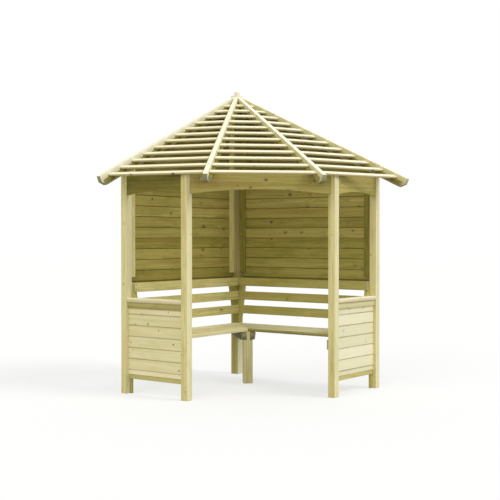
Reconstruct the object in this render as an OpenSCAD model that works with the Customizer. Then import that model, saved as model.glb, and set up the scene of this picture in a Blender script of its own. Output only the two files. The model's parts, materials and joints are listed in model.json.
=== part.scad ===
// Corner arbor: two clad back walls at a right angle, a fan roof of three slatted
// sections, an L-shaped bench with a reclined backrest, and two half-height end panels.
// Origin: centre of the corner post's foot. +Z up, the entrance faces -Y.

/* [Plan] */
// Distance between post centres along each back wall
wall_run = 1415; // [1300:5:1550]
// Distance between post centres along each end panel
panel_run = 620; // [560:5:700]

/* [Posts] */
// Side of the square side and front posts
post_w = 60; // [54:1:66]
// Side of the square corner post
corner_w = 75; // [66:1:84]
// Side of the square stub on the corner post's top
stub_w = 36; // [28:1:50]
// Height of the stub, with its four-way point
stub_h = 40; // [25:1:60]

/* [Hips] */
// Height of the hips' top edge, carried on to the corner post's axis
apex_z = 2490; // [2380:5:2600]
// Roof pitch along each hip
pitch = 25; // [22:0.5:28]
// Plan length of each hip from the corner post's axis
hip_run = 1720; // [1680:5:1840]
// Width of each hip
hip_w = 35; // [30:1:45]
// Depth of each hip, square to its length
hip_d = 88; // [75:1:100]
// Chamfer under each hip's free end
hip_chamfer = 38; // [20:1:50]

/* [Slats] */
// Number of slats in each roof section
slat_count = 12; // [9:1:13]
// Width of a slat, measured down the slope
slat_w = 40; // [32:1:50]
// Thickness of a slat
slat_t = 17; // [14:1:22]
// Plan spacing of the slats down the middle of a section
slat_pitch = 125; // [112:0.5:132]
// Plan length of hip beyond the lowest slat
hip_tail = 73; // [50:1:110]
// Depth of the slats' top faces below the hips' top edges
slat_sink = 17; // [8:0.5:22]
// Side of the square battens that carry the slats along each hip
hip_batten = 25; // [20:1:32]

/* [Beams] */
// Depth of the arched beams at their ends
beam_d = 149; // [125:1:180]
// Rise of the front beam's arch
front_rise = 32; // [15:1:45]
// Rise of the side beams' arches
side_rise = 25; // [15:1:40]
// Thickness of the arched beams
beam_t = 28; // [22:1:34]
// Flat length of the front beam's lower edge at each end
front_land = 36; // [35:1:60]
// Flat length of the side beams' lower edges at each end
side_land = 6; // [4:1:40]
// Setback of the front beam behind the front posts' outermost edges
beam_setback = 22; // [18:1:30]

/* [Wall cladding] */
// Height of the bottom edge of the wall boards, just above the backrest's bearers
wall_z = 861; // [861:1:880]
// Height shown by each wall board
wall_cover = 86; // [75:1:100]
// Thickness of the cladding boards
board_t = 12; // [10:0.5:16]
// Depth of the tongue that each board tucks behind the next
lap = 9; // [6:1:12]
// Open joint between boards
board_gap = 0.6; // [0.4:0.1:1.5]
// Height of the shadow gap between the boards' backs
back_gap = 5; // [2:0.5:7]
// Height of the scoop along a board's outer top edge
scoop = 14; // [8:1:20]
// Width of the wall battens
batten_w = 50; // [40:1:60]
// Thickness of the wall battens
batten_t = 18; // [14:1:22]
// Height of the wall battens' lower ends
batten_z = 908; // [880:1:940]
// Gap between the outer batten and the side post
batten_gap = 20; // [5:1:35]

/* [Backrest] */
// Height of a backrest rail
rail_h = 73; // [60:1:78]
// Thickness of a backrest rail
rail_t = 20; // [16:1:26]
// Height of the lowest rail's bottom edge
rail_z = 551; // [530:1:570]
// Spacing of the rails
rail_pitch = 120; // [108:1:125]
// Lean of the backrest
recline = 10; // [4:0.5:12]
// Distance of the top rail's back face inside the wall's centre plane, at its middle
rail_inset = 44; // [44:1:60]
// Thickness of the leaning bearers that carry the rails
bearer_t = 35; // [25:1:45]
// Width of the leaning bearers
bearer_d = 90; // [70:1:95]

/* [Bench] */
// Height of the seat's top face
seat_z = 463; // [430:1:500]
// Thickness of the seat boards
seat_t = 27; // [22:1:34]
// Number of boards in each bench
seat_boards = 3; // [2:1:4]
// Gap between seat boards
seat_gap = 8; // [4:1:14]
// Distance of the left bench's front edge from its wall's centre plane
left_bench = 452; // [420:1:480]
// Distance of the right bench's front edge from its wall's centre plane
right_bench = 430; // [400:1:480]
// Distance of the benches' back edges inside the walls' centre planes
bench_back = 38; // [38:1:50]
// Depth of the seat bearers
seat_bearer_d = 72; // [60:1:85]
// Thickness of the seat bearers beside the leg
seat_bearer_t = 45; // [35:1:50]
// Side of the bench leg's square section
leg_w = 75; // [60:1:80]
// Width of the leg's tongue between the seat bearers
tongue_w = 28; // [20:1:36]
// Depth of the end bearers
end_bearer_d = 75; // [60:1:90]
// Thickness of the end bearers
end_bearer_t = 30; // [25:1:40]

/* [End panels] */
// Height of the cap rails' top faces
cap_z = 749; // [730:1:775]
// Thickness of the cap rails
cap_t = 34; // [28:1:40]
// Width of the cap rails
cap_w = 74; // [62:1:90]
// Radius of the cap rails' rounded edges
cap_r = 8; // [3:0.5:12]
// Height of the top rails
top_rail_h = 44; // [36:1:56]
// Thickness of the top rails
top_rail_t = 10; // [8:1:14]
// Height shown by each end-panel board
end_cover = 87; // [75:1:100]
// Height of the bottom rails' lower edges
bottom_rail_z = 117; // [90:1:150]
// Height of the bottom rails
bottom_rail_h = 37; // [30:1:50]
// Recess of the bottom rails behind the end boards' faces
rail_recess = 4; // [2:0.5:6]
// Side of the square stiles beside the posts
stile_w = 20; // [18:1:26]
// Recess of the end boards behind the posts' outer faces
end_recess = 22; // [18:1:26]

/* [Fixings] */
// Diameter of the screws' shanks
screw_d = 5; // [4:0.5:6]
// Diameter of the screws' countersunk heads
screw_head = 10; // [8:0.5:12]
// Diameter of the leg's coach bolts
bolt_d = 8; // [6:1:10]
// Diameter of the nails' shanks
nail_d = 2.6; // [2:0.2:3.4]
// Diameter of the nails' heads
nail_head = 6; // [5:0.5:8]

/* [Hidden] */
$fn = 48;

wood = "#c8b878";
wood_light = "#e2d6a4";
wood_dark = "#a2924e";
zinc = "#8d9088";

// Angle between a section's middle line and the hips beside it
half_fan = 15;
ph = post_w / 2;
ch = corner_w / 2;
hw = hip_w / 2;
// Fan section's slope down its middle line
slope = atan(tan(pitch) / cos(half_fan));
// Far face of the wall battens and near face of the wall boards
clad_y = hw;
// Front posts' outermost edges
front_y = -(wall_run + panel_run + post_w) * sqrt(0.5);
front_x = (wall_run - panel_run) * sqrt(0.5);
beam_front_y = front_y + beam_setback;
beam_back_y = beam_front_y + beam_t;
beam_top = under_z(-beam_back_y / cos(half_fan));
// Lower edge of the arched beams at their ends
beam_z = beam_top - beam_d;
// Backrest rail nearest the top, counted from the lowest
rail_count = 3;
top_rail_mid = rail_z + (rail_count - 1) * rail_pitch + rail_h / 2;
side_bearer_x = wall_run - ph - bearer_t;
bearer_top = rail_z + (rail_count - 1) * rail_pitch + rail_h - 5;
// Bench mitre: from the back corner to the inner front corner
mitre_back = [0, -bench_back * sqrt(2)];
mitre_front = [(left_bench - right_bench) * sqrt(0.5), -(left_bench + right_bench) * sqrt(0.5)];
mitre_turn = atan((mitre_front.x - mitre_back.x) / (mitre_back.y - mitre_front.y));
mitre_len = norm(mitre_front - mitre_back);
seat_under = seat_z - seat_t;
leg_front = mitre_len + 10;
bearer_front = leg_front + 6;
panel_face = wall_run + ph - end_recess;
// Back faces of the end boards and of the bottom rails
panel_back = panel_face - board_t;
// Width left open at a mitred joint
hairline = 0.5;
cap_under = cap_z - cap_t;
big = 4000;

function hip_z(r) = apex_z - r * tan(pitch);
function under_z(r) = hip_z(r) - hip_d / cos(pitch);
// Underside of the slats at a distance down a section's middle line
function slat_under(d) = apex_z - d * tan(slope) - (slat_sink + slat_t) / cos(slope);
// Back face of the reclined rails, as local y, at height z
function rest_y(z) = -rail_inset - (top_rail_mid - z) * tan(recline);
function slat_d(k) = (hip_run - hip_tail) * cos(half_fan) - slat_w / 2 * cos(slope) - k * slat_pitch;

// Right-hand frame: x runs along the right wall from the corner post, y points outward
module right_half() { rotate([0, 0, -45]) children(); }
module left_half() { mirror([1, 0, 0]) right_half() children(); }
// Half of one side: 1 is the right one and -1 the left one
module half(side) {
    if (side > 0) right_half() children();
    else left_half() children();
}
// Frame whose x axis runs from the corner post at an angle from the front, towards +X
module bearing(angle) { rotate([0, 0, angle - 90]) children(); }

// Box given by its lowest and highest corners
module block(low, high) { translate(low) cube(high - low); }

// Outline drawn in local x and z, w thick and centred on local y
module upright(w) { rotate([90, 0, 0]) linear_extrude(w, center = true) children(); }

// Everything above the line that lies drop below the hips' top edge, square to it
module above_hip(drop) {
    upright(big) polygon([[-200, hip_z(-200) - drop / cos(pitch)],
        [hip_run + 300, hip_z(hip_run + 300) - drop / cos(pitch)], [hip_run + 300, big], [-200, big]]);
}

// Posts

// Elevation of the corner post: a square shoulder and a stub with a low point
module corner_outline() {
    top = hip_z(ch) + 12;
    point = stub_w / 4;
    polygon([[-ch, 0], [ch, 0], [ch, top], [stub_w / 2, top], [stub_w / 2, top + stub_h - point],
        [0, top + stub_h], [-stub_w / 2, top + stub_h - point], [-stub_w / 2, top], [-ch, top]]);
}

module corner_post() {
    color(wood) rotate([0, 0, 45]) intersection() {
        upright(corner_w) corner_outline();
        rotate([0, 0, 90]) upright(corner_w) corner_outline();
    }
}

module side_post(side) {
    color(wood) difference() {
        half(side) difference() {
            block([wall_run - ph, -ph, 0], [wall_run + ph, ph, apex_z]);
            above_hip(hip_d);
        }
        hip_screws($hole = true);
    }
}

// The front posts stop just under the lowest slats of the side sections
module front_post() {
    corner = front_x * sin(2 * half_fan) - front_y * cos(2 * half_fan);
    top = min(beam_top, slat_under(corner) - 1);
    color(wood) block([wall_run - ph, -panel_run - ph, 0], [wall_run + ph, -panel_run + ph, top]);
}

// Cladding

// Shiplap board's cross-section: x is outward from the battens, y is up
module shiplap(cover) {
    tuck = board_t / 2 - board_gap;
    polygon([[0, lap + back_gap], [board_t / 2, lap + back_gap], [board_t / 2, 0], [board_t, 0],
        [board_t, cover - scoop], [board_t * 0.74, cover - scoop * 0.6], [board_t * 0.58, cover - board_gap],
        [tuck, cover - board_gap], [tuck, cover + lap], [0, cover + lap]]);
}

// A board along local x from x0 to x1, its back on local y = 0
module board(x0, x1, z, cover) {
    translate([x0, 0, z]) rotate([90, 0, 90]) linear_extrude(x1 - x0) shiplap(cover);
}

wall_rows = ceil((hip_z(ch) - wall_z) / wall_cover);
wall_cut = 16;
module wall_boards() {
    color(wood_dark) difference() {
        translate([0, clad_y, 0]) for (k = [0 : wall_rows - 1])
            board(ch, wall_run - ph, wall_z + k * wall_cover, wall_cover);
        above_hip(wall_cut);
        wall_nails();
    }
}

corner_batten_x = ch;
outer_batten_x = wall_run - ph - batten_gap - batten_w;
module wall_battens() {
    color(wood_dark) difference() {
        for (x = [corner_batten_x, outer_batten_x])
            block([x, clad_y - batten_t, batten_z], [x + batten_w, clad_y, apex_z]);
        above_hip(hip_d);
        wall_nails();
    }
}

// Backrest

// Keeps what lies on this half's side of the corner's mitre
module mitre_keep() {
    linear_extrude(big) polygon([[hairline, big], [big, big], [big, -big], [hairline, -hairline / 2]]);
}

// Leaning frame: local y = 0 is the rails' back face, z measured up the lean
module leaning(z) { translate([0, rest_y(z), z]) rotate([-recline, 0, 0]) children(); }

// A rail beside the cap rail stops at its inner edge, and the others at the posts' inner faces
function rail_low(k) = rail_z + k * rail_pitch;
function beside_cap(k) = rail_low(k) - 6 < cap_z && rail_low(k) + rail_h + 6 > cap_under;
function rail_end(k) = wall_run - ph - (beside_cap(k) ? cap_w - post_w + 1 : 0);
module back_rail(k) {
    mid = rail_z + k * rail_pitch + rail_h / 2;
    color(wood_light) difference() {
        intersection() {
            leaning(mid) block([0, -rail_t, -rail_h / 2], [rail_end(k), 0, rail_h / 2]);
            mitre_keep();
        }
        backrest_half_screws($hole = true);
    }
}

// Leaning bearer from local x0 towards the side post, standing on the bench
module leaning_bearer(x0) {
    d = bearer_d / cos(recline);
    translate([x0, 0, 0]) rotate([90, 0, 90]) linear_extrude(bearer_t)
        polygon([[rest_y(seat_z), seat_z], [rest_y(seat_z) + d, seat_z],
            [rest_y(bearer_top) + d, bearer_top], [rest_y(bearer_top), bearer_top]]);
}

module corner_bearer() {
    color(wood) intersection() {
        leaning_bearer(ch);
        mitre_keep();
    }
}

module side_bearer() {
    color(wood) difference() {
        leaning_bearer(side_bearer_x);
        backrest_half_screws($hole = true);
    }
}

// Bench

// Plan of a bench in its own half: own is its front edge's distance, other is its neighbour's
module bench_plan(own, other) {
    polygon([[bench_back + hairline, -bench_back], [other + hairline, -own],
        [wall_run - ph, -own], [wall_run - ph, -bench_back]]);
}

function seat_board_w(own) = (own - bench_back - (seat_boards - 1) * seat_gap) / seat_boards;

// Bench of one side: 1 is the right one and -1 the left one
module bench_boards(side) {
    own = side > 0 ? right_bench : left_bench;
    other = side > 0 ? left_bench : right_bench;
    w = seat_board_w(own);
    color(wood_light) difference() {
        half(side) for (k = [0 : seat_boards - 1])
            translate([0, 0, seat_under]) linear_extrude(seat_t) intersection() {
                bench_plan(own, other);
                translate([0, -own + k * (w + seat_gap)]) square([big, w]);
            }
        bench_screws($hole = true);
    }
}

// Frame on the bench mitre: -y runs from the corner towards the entrance
module on_mitre() { translate([mitre_back.x, mitre_back.y, 0]) rotate([0, 0, mitre_turn]) children(); }

// Bearer beside the leg; side is 1 for the right one and -1 for the left one
module seat_bearer(side) {
    low = seat_under - seat_bearer_d;
    nose = seat_bearer_d * 0.45;
    x0 = side * tongue_w / 2;
    color(wood_dark) difference() {
        on_mitre() translate([x0 + side * seat_bearer_t / 2, 0, 0]) rotate([0, 0, 90]) upright(seat_bearer_t)
            polygon([[-bearer_front, low + nose], [-bearer_front + nose, low], [corner_w, low],
                [corner_w, seat_under], [-bearer_front, seat_under]]);
        rotate([0, 0, 45 * side]) block([-big, -ch, low - 1], [ch, big, seat_under + 1]);
        rotate([0, 0, 45]) block([-ch, -ch, low - 1], [ch, ch, seat_under + 1]);
        bench_screws($hole = true);
        leg_bolts();
    }
}

// Square leg with a tongue that passes up between the two seat bearers
module seat_leg() {
    shoulder = seat_under - seat_bearer_d;
    color(wood) difference() {
        on_mitre() {
            block([-leg_w / 2, -leg_front, 0], [leg_w / 2, -leg_front + leg_w, shoulder]);
            block([-tongue_w / 2, -leg_front, shoulder - 1],
                [tongue_w / 2, -leg_front + leg_w, seat_under]);
        }
        leg_bolts();
    }
}

// Bearer across the inner faces of the side post and the front post, under the bench's end
module end_bearer(side) {
    color(wood_dark) difference() {
        half(side) block([wall_run - ph - end_bearer_t, -panel_run, seat_under - end_bearer_d],
            [wall_run - ph, ph / 2, seat_under]);
        bench_screws($hole = true);
    }
}

// End panels

module end_boards() {
    low = bottom_rail_z + bottom_rail_h;
    rows = ceil((cap_under - low) / end_cover);
    color(wood_light) difference() {
        intersection() {
            translate([panel_back, 0, 0]) mirror([1, 0, 0]) rotate([0, 0, 90])
                for (k = [1 : rows]) board(-panel_run + ph, -ph, cap_under - k * end_cover, end_cover);
            block([0, -panel_run, low], [big, 0, cap_under - board_gap]);
        }
        end_nails();
    }
}

module end_stiles() {
    color(wood) difference() {
        for (y = [-ph - stile_w, -panel_run + ph])
            block([panel_back - stile_w, y, 0], [panel_back, y + stile_w, cap_under]);
        end_nails();
        cap_half_screws($hole = true);
    }
}

// The bottom rail runs from post to post over the stiles' faces
module bottom_rail() {
    color(wood) difference() {
        block([panel_back, -panel_run + ph, bottom_rail_z],
            [panel_face - rail_recess, -ph, bottom_rail_z + bottom_rail_h]);
        end_nails();
    }
}

module top_rail() {
    color(wood) block([panel_face, -panel_run + ph, cap_under - top_rail_h],
        [panel_face + top_rail_t, -ph, cap_under]);
}

module cap_rail() {
    outer = wall_run + ph;
    color(wood_light) difference() {
        translate([outer - cap_w / 2, -ph, cap_z - cap_t / 2]) rotate([90, 0, 0])
            linear_extrude(panel_run - post_w) {
                square([cap_w, cap_t - 2 * cap_r], center = true);
                square([cap_w - 2 * cap_r, cap_t], center = true);
                for (sx = [-1, 1], sy = [-1, 1])
                    translate([sx * (cap_w / 2 - cap_r), sy * (cap_t / 2 - cap_r)]) circle(cap_r);
            }
        cap_half_screws($hole = true);
        leaning_bearer(side_bearer_x);
    }
}

// Arched beams

// Elevation of a beam from x0 to x1 with an arched lower edge between its flat ends
module arched(x0, x1, rise, land) {
    span = x1 - x0 - 2 * land;
    radius = (span * span / 4 + rise * rise) / (2 * rise);
    difference() {
        translate([x0, beam_z]) square([x1 - x0, beam_d]);
        translate([(x0 + x1) / 2, beam_z + rise - radius]) circle(radius, $fn = 360);
    }
}

// The front beam's ends lie on the front posts' inner faces
module front_beam() {
    half_front_edge = front_x - beam_setback;
    half_back_edge = half_front_edge - beam_t;
    color(wood) difference() {
        intersection() {
            translate([0, beam_front_y + beam_t / 2, 0]) upright(beam_t)
                arched(-half_front_edge, half_front_edge, front_rise, front_land);
            linear_extrude(big) polygon([[-half_front_edge, beam_front_y], [half_front_edge, beam_front_y],
                [half_back_edge, beam_back_y], [-half_back_edge, beam_back_y]]);
        }
        hip_screws($hole = true);
    }
}

module side_beam() {
    color(wood) translate([wall_run + ph - beam_t / 2, 0, 0]) rotate([0, 0, 90]) upright(beam_t)
        arched(-panel_run + ph, -ph, side_rise, side_land);
}

// Roof

// Hip's elevation: square-cut end with a chamfer under it
module hip_outline() {
    tip = [hip_run, hip_z(hip_run)];
    down = [-sin(pitch), -cos(pitch)];
    back = [-cos(pitch), sin(pitch)];
    polygon([[0, hip_z(0)], tip, tip + down * (hip_d - hip_chamfer),
        tip + down * hip_d + back * hip_chamfer, [0, under_z(0)]]);
}

// Hips stand plumb, mitred to their neighbours and to the corner post
module hip(angle) {
    outermost = abs(angle) > 2 * half_fan;
    inner_side = angle > 0 ? -1 : 1;
    color(wood_light) difference() {
        intersection() {
            bearing(angle) upright(hip_w) hip_outline();
            bearing(angle) translate([2 * hairline, 0, 0]) linear_extrude(big) polygon([[0, 0],
                [big, -big * tan(half_fan) * (outermost && inner_side > 0 ? 2 : 1)],
                [big, big * tan(half_fan) * (outermost && inner_side < 0 ? 2 : 1)]]);
        }
        rotate([0, 0, 45]) block([-ch, -ch, 0], [ch, ch, big]);
        block([-big / 4, beam_front_y, beam_z], [big / 4, beam_back_y, beam_top]);
        hip_screws($hole = true);
    }
}

// Battens that carry the slats along a hip, on the sides given
batten_start = (hw + hip_batten) / tan(half_fan) + 6;
batten_drop = (slat_sink + slat_t) / cos(slope) + (hw + hip_batten) * tan(slope) * sin(half_fan);
module hip_battens(angle, sides) {
    r0 = batten_start;
    r1 = hip_run - hip_tail + 28;
    h = hip_batten / cos(pitch);
    color(wood_dark) difference() {
        bearing(angle) for (s = sides)
            translate([0, s * (hw + hip_batten / 2), 0]) upright(hip_batten)
                polygon([[r0, hip_z(r0) - batten_drop], [r1, hip_z(r1) - batten_drop],
                    [r1 - h * sin(pitch), hip_z(r1) - batten_drop - h * cos(pitch)],
                    [r0, hip_z(r0) - batten_drop - h]]);
        slat_nails();
    }
}

// Keeps what lies between two neighbouring hips
module between_hips() {
    side_gap = 0.4;
    inset = (hw + side_gap) / cos(half_fan);
    start = inset / tan(half_fan);
    linear_extrude(big) polygon([[start, 0], [big, big * tan(half_fan) - inset],
        [big, -big * tan(half_fan) + inset]]);
}

module slats(angle) {
    color(wood_light) difference() {
        bearing(angle) intersection() {
            for (k = [0 : slat_count - 1])
                translate([slat_d(k), 0, apex_z - slat_d(k) * tan(slope)]) rotate([0, slope, 0])
                    block([-slat_w / 2, -hip_run, -slat_sink - slat_t], [slat_w / 2, hip_run, -slat_sink]);
            between_hips();
        }
        slat_nails();
    }
}

// Fixings

// Round-headed nail along +z, its head's underside at the origin
module nail(length) {
    translate([0, 0, -length]) cylinder(d = nail_d, h = length);
    cylinder(d = nail_head, h = 1);
}

// Countersunk screw along +z, its head flush at the origin; its hole runs on past the head
$hole = false;
module screw(length) {
    translate([0, 0, -length]) cylinder(d = screw_d, h = length);
    translate([0, 0, -screw_head / 4]) cylinder(d1 = screw_d, d2 = screw_head, h = screw_head / 4);
    if ($hole) cylinder(d = screw_head, h = 5);
}

module wall_nails() {
    for (x = [corner_batten_x, outer_batten_x], k = [0 : wall_rows - 1]) {
        z = wall_z + (k + 0.7) * wall_cover;
        if (z > batten_z && z + nail_head < under_z(x + batten_w))
            translate([x + batten_w / 2, clad_y + board_t, z]) rotate([-90, 0, 0])
                nail(board_t + batten_t * 0.7);
    }
}

module end_nails() {
    rows = floor((cap_under - top_rail_h - bottom_rail_z - bottom_rail_h) / end_cover);
    for (y = [-ph - stile_w / 2, -panel_run + ph + stile_w / 2]) {
        for (k = [1 : rows])
            translate([panel_face, y, cap_under - (k + 0.5) * end_cover]) rotate([0, 90, 0])
                nail(board_t + stile_w * 0.6);
        translate([panel_face - rail_recess, y, bottom_rail_z + bottom_rail_h / 2]) rotate([0, 90, 0])
            nail(board_t - rail_recess + stile_w * 0.6);
    }
}

module board_nails() {
    color(zinc) {
        left_half() { wall_nails(); end_nails(); }
        right_half() { wall_nails(); end_nails(); }
    }
}

module slat_nails() {
    color(zinc) for (angle = [-2 * half_fan, 0, 2 * half_fan]) bearing(angle)
        for (k = [0 : slat_count - 1], s = [-1, 1]) {
            d = slat_d(k);
            y = s * (d * tan(half_fan) - (hw + hip_batten * 0.6) / cos(half_fan));
            if (d * cos(half_fan) > batten_start)
                translate([d, y, apex_z - d * tan(slope)]) rotate([0, slope, 0])
                    translate([0, 0, -slat_sink]) nail(slat_t + hip_batten / 2);
        }
}

module bench_half_screws(own) {
    w = seat_board_w(own);
    for (k = [0 : seat_boards - 1], f = [0.25, 0.75])
        translate([wall_run - ph - end_bearer_t / 2, -own + k * (w + seat_gap) + f * w, seat_z])
            screw(seat_t + end_bearer_t);
}

module bench_screws() {
    inset = tongue_w / 2 + seat_bearer_t / 2;
    color(zinc) {
        left_half() bench_half_screws(left_bench);
        right_half() bench_half_screws(right_bench);
        on_mitre() for (s = [-1, 1], k = [0 : seat_boards - 1])
            translate([s * inset, -mitre_len * (k + 0.62) / seat_boards, seat_z])
                screw(seat_t + seat_bearer_t * 0.6);
    }
}

// Coach bolts through both seat bearers and the leg's tongue
module leg_bolts() {
    half_grip = tongue_w / 2 + seat_bearer_t;
    color(zinc) on_mitre() for (f = [0.3, 0.7])
        translate([0, -leg_front + leg_w * f, seat_under - seat_bearer_d * f]) rotate([0, 90, 0]) {
            cylinder(d = bolt_d, h = 2 * half_grip + 12, center = true);
            translate([0, 0, -half_grip - 4]) cylinder(d = bolt_d * 2.2, h = 4);
            translate([0, 0, half_grip]) cylinder(d = bolt_d * 2, h = bolt_d * 0.7, $fn = 6);
        }
}

module backrest_half_screws() {
    for (k = [0 : rail_count - 1], f = [-0.25, 0.25]) {
        mid = rail_z + k * rail_pitch + rail_h / 2;
        leaning(mid) translate([(side_bearer_x + rail_end(k)) / 2, -rail_t, f * rail_h])
            rotate([90, 0, 0]) screw(rail_t + bearer_d * 0.5);
    }
}

module backrest_screws() {
    color(zinc) {
        left_half() backrest_half_screws();
        right_half() backrest_half_screws();
    }
}

module cap_half_screws() {
    for (y = [-ph - stile_w / 2, -panel_run + ph + stile_w / 2])
        translate([panel_back - stile_w / 2, y, cap_z]) screw(cap_t + stile_w);
}

module cap_screws() {
    color(zinc) {
        left_half() cap_half_screws();
        right_half() cap_half_screws();
    }
}

// Long screws down through the hips into the front beam and the side posts
module hip_screws() {
    beam_r = -(beam_front_y + beam_t / 2) / cos(half_fan);
    for (spot = [[-3, wall_run], [-1, beam_r], [1, beam_r], [3, wall_run]]) {
        r = spot[1] + hip_d * sin(pitch);
        color(zinc) bearing(spot[0] * half_fan) translate([r, 0, hip_z(r)]) rotate([0, pitch, 0])
            screw(hip_d + post_w * 0.4);
    }
}

corner_post();
side_post(-1);  // left_side_post
side_post(1);  // right_side_post
left_half() front_post();  // left_front_post
right_half() front_post();  // right_front_post
left_half() wall_boards();  // left_wall_boards
right_half() wall_boards();  // right_wall_boards
left_half() wall_battens();  // left_wall_battens
right_half() wall_battens();  // right_wall_battens
left_half() back_rail(0);  // left_back_rail_1
left_half() back_rail(1);  // left_back_rail_2
left_half() back_rail(2);  // left_back_rail_3
right_half() back_rail(0);  // right_back_rail_1
right_half() back_rail(1);  // right_back_rail_2
right_half() back_rail(2);  // right_back_rail_3
left_half() corner_bearer();  // left_corner_bearer
right_half() corner_bearer();  // right_corner_bearer
left_half() side_bearer();  // left_side_bearer
right_half() side_bearer();  // right_side_bearer
bench_boards(-1);  // left_bench_boards
bench_boards(1);  // right_bench_boards
seat_bearer(-1);  // left_seat_bearer
seat_bearer(1);  // right_seat_bearer
seat_leg();
end_bearer(-1);  // left_end_bearer
end_bearer(1);  // right_end_bearer
left_half() end_boards();  // left_end_boards
right_half() end_boards();  // right_end_boards
left_half() end_stiles();  // left_end_stiles
right_half() end_stiles();  // right_end_stiles
left_half() bottom_rail();  // left_bottom_rail
right_half() bottom_rail();  // right_bottom_rail
left_half() top_rail();  // left_top_rail
right_half() top_rail();  // right_top_rail
left_half() cap_rail();  // left_cap_rail
right_half() cap_rail();  // right_cap_rail
front_beam();
left_half() side_beam();  // left_beam
right_half() side_beam();  // right_beam
hip(-3 * half_fan);  // left_side_hip
hip(-half_fan);  // left_front_hip
hip(half_fan);  // right_front_hip
hip(3 * half_fan);  // right_side_hip
hip_battens(-3 * half_fan, [1]);  // left_side_hip_batten
hip_battens(-half_fan, [-1, 1]);  // left_front_hip_battens
hip_battens(half_fan, [-1, 1]);  // right_front_hip_battens
hip_battens(3 * half_fan, [-1]);  // right_side_hip_batten
slats(-2 * half_fan);  // left_slats
slats(0);  // middle_slats
slats(2 * half_fan);  // right_slats
board_nails();
slat_nails();
bench_screws();
backrest_screws();
cap_screws();
hip_screws();
leg_bolts();
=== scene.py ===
"""Looks of the corner arbor: every timber gets eased edges, its own grain, knots and stain, and
painted sunlight and painted shade.
"""

import json
import logging
import math
import random
from abc import ABC, abstractmethod
from dataclasses import dataclass
from enum import Enum
from typing import Iterable, Sequence

import bpy
from mathutils import Matrix, Vector

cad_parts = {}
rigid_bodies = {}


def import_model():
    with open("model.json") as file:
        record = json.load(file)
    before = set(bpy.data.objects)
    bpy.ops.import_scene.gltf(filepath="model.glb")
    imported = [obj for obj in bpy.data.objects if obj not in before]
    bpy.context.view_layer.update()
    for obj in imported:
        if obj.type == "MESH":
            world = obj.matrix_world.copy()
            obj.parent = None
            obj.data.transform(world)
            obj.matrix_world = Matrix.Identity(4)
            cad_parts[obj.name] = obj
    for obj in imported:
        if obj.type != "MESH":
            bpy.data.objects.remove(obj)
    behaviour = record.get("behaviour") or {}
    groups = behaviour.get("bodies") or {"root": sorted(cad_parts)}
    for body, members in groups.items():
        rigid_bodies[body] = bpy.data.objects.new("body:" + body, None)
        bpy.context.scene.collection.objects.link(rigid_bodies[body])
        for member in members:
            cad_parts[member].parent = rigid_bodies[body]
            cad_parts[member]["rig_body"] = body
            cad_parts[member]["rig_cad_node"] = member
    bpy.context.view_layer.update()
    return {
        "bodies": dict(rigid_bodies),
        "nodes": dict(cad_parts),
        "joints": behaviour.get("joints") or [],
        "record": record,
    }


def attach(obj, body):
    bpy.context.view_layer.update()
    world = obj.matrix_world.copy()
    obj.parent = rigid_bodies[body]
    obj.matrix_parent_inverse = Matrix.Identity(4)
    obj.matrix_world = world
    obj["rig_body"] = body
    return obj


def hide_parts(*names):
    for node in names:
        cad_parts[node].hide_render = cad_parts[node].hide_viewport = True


LOG = logging.getLogger("arbor")

Triple = tuple[float, float, float]
Colour = Triple
Span = tuple[float, float]
Node = bpy.types.Object
Finishes = dict["Exposure", bpy.types.Material]

# Mesh attributes that carry a board's own grain, tone and end faces to its material, with its
# painted sunlight and its grime and painted shade.
GRAIN = "grain"
BOARD = "board"
END = "end_grain"
GRIME_AND_PAINTED_SHADE = "grime_and_painted_shade"
PAINTED_SUNLIGHT = "bleach"

# Heights in metres between which the faces that look inwards get painted shade from the roof; above
# the ridge, faces get painted sunlight.
EAVES = 1.55
RIDGE = 2.46
# Direction of the painted sunlight: faces that look this way are painted paler.
PAINTED_SUN_DIRECTION = Vector((0.75, -0.25, 0.61))
# Share of full painted sunlight that every face above the ridge gets.
PAINTED_SUN_ABOVE_RIDGE = 0.8
# Growth of the painted roof shade with the height above the eaves, per metre, and what it takes off
# the painted sunlight; then the cap on grime and painted shade together.
ROOF_SHADE_RISE = 3.0
ROOF_SHADE_FADE = 2.2
DARKEST_GRIME_AND_SHADE = 0.9

# Limits of mesh clean-up and of edges, in metres and degrees.
MERGE_DISTANCE = 2e-5
COPLANAR_ANGLE = 0.4
SHARP_ANGLE = 24.0
SMOOTH_ANGLE = 50.0
# Shape of an eased edge.
ARRIS_SEGMENTS = 2
ARRIS_PROFILE = 0.6
# Cosines that tell a board's crosswise edges, its end faces and its edge faces.
CROSSWISE = 0.05
END_FACE = 0.6
EDGE_FACE = 0.8

# Random offsets: metres along the grain, and shares of the pith's usual distance.
GRAIN_OFFSET = 40.0
PITH_OFFSET = 1.2
PITH_DISTANCE = (0.6, 1.4)
SEED = 20

# Sockets of a Mix node that is set to colour.
MIX_FACTOR, MIX_FIRST, MIX_SECOND, MIX_RESULT = 0, 6, 7, 2
WHITE = (1.0, 1.0, 1.0, 1.0)


class Exposure(Enum):
    """Pale, middle and dark copies of one pine, named by its material slot: the pale one stands for
    painted sunlight and the dark one for painted shade.
    """

    SUNLIT = "pale_pine"
    OPEN = "pine"
    SHADED = "shaded_pine"


class Heart(Enum):
    """Usual distance in metres from a timber's middle to the pith of its tree."""

    OUTSIDE = 0.045
    BOXED = 0.008


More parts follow.
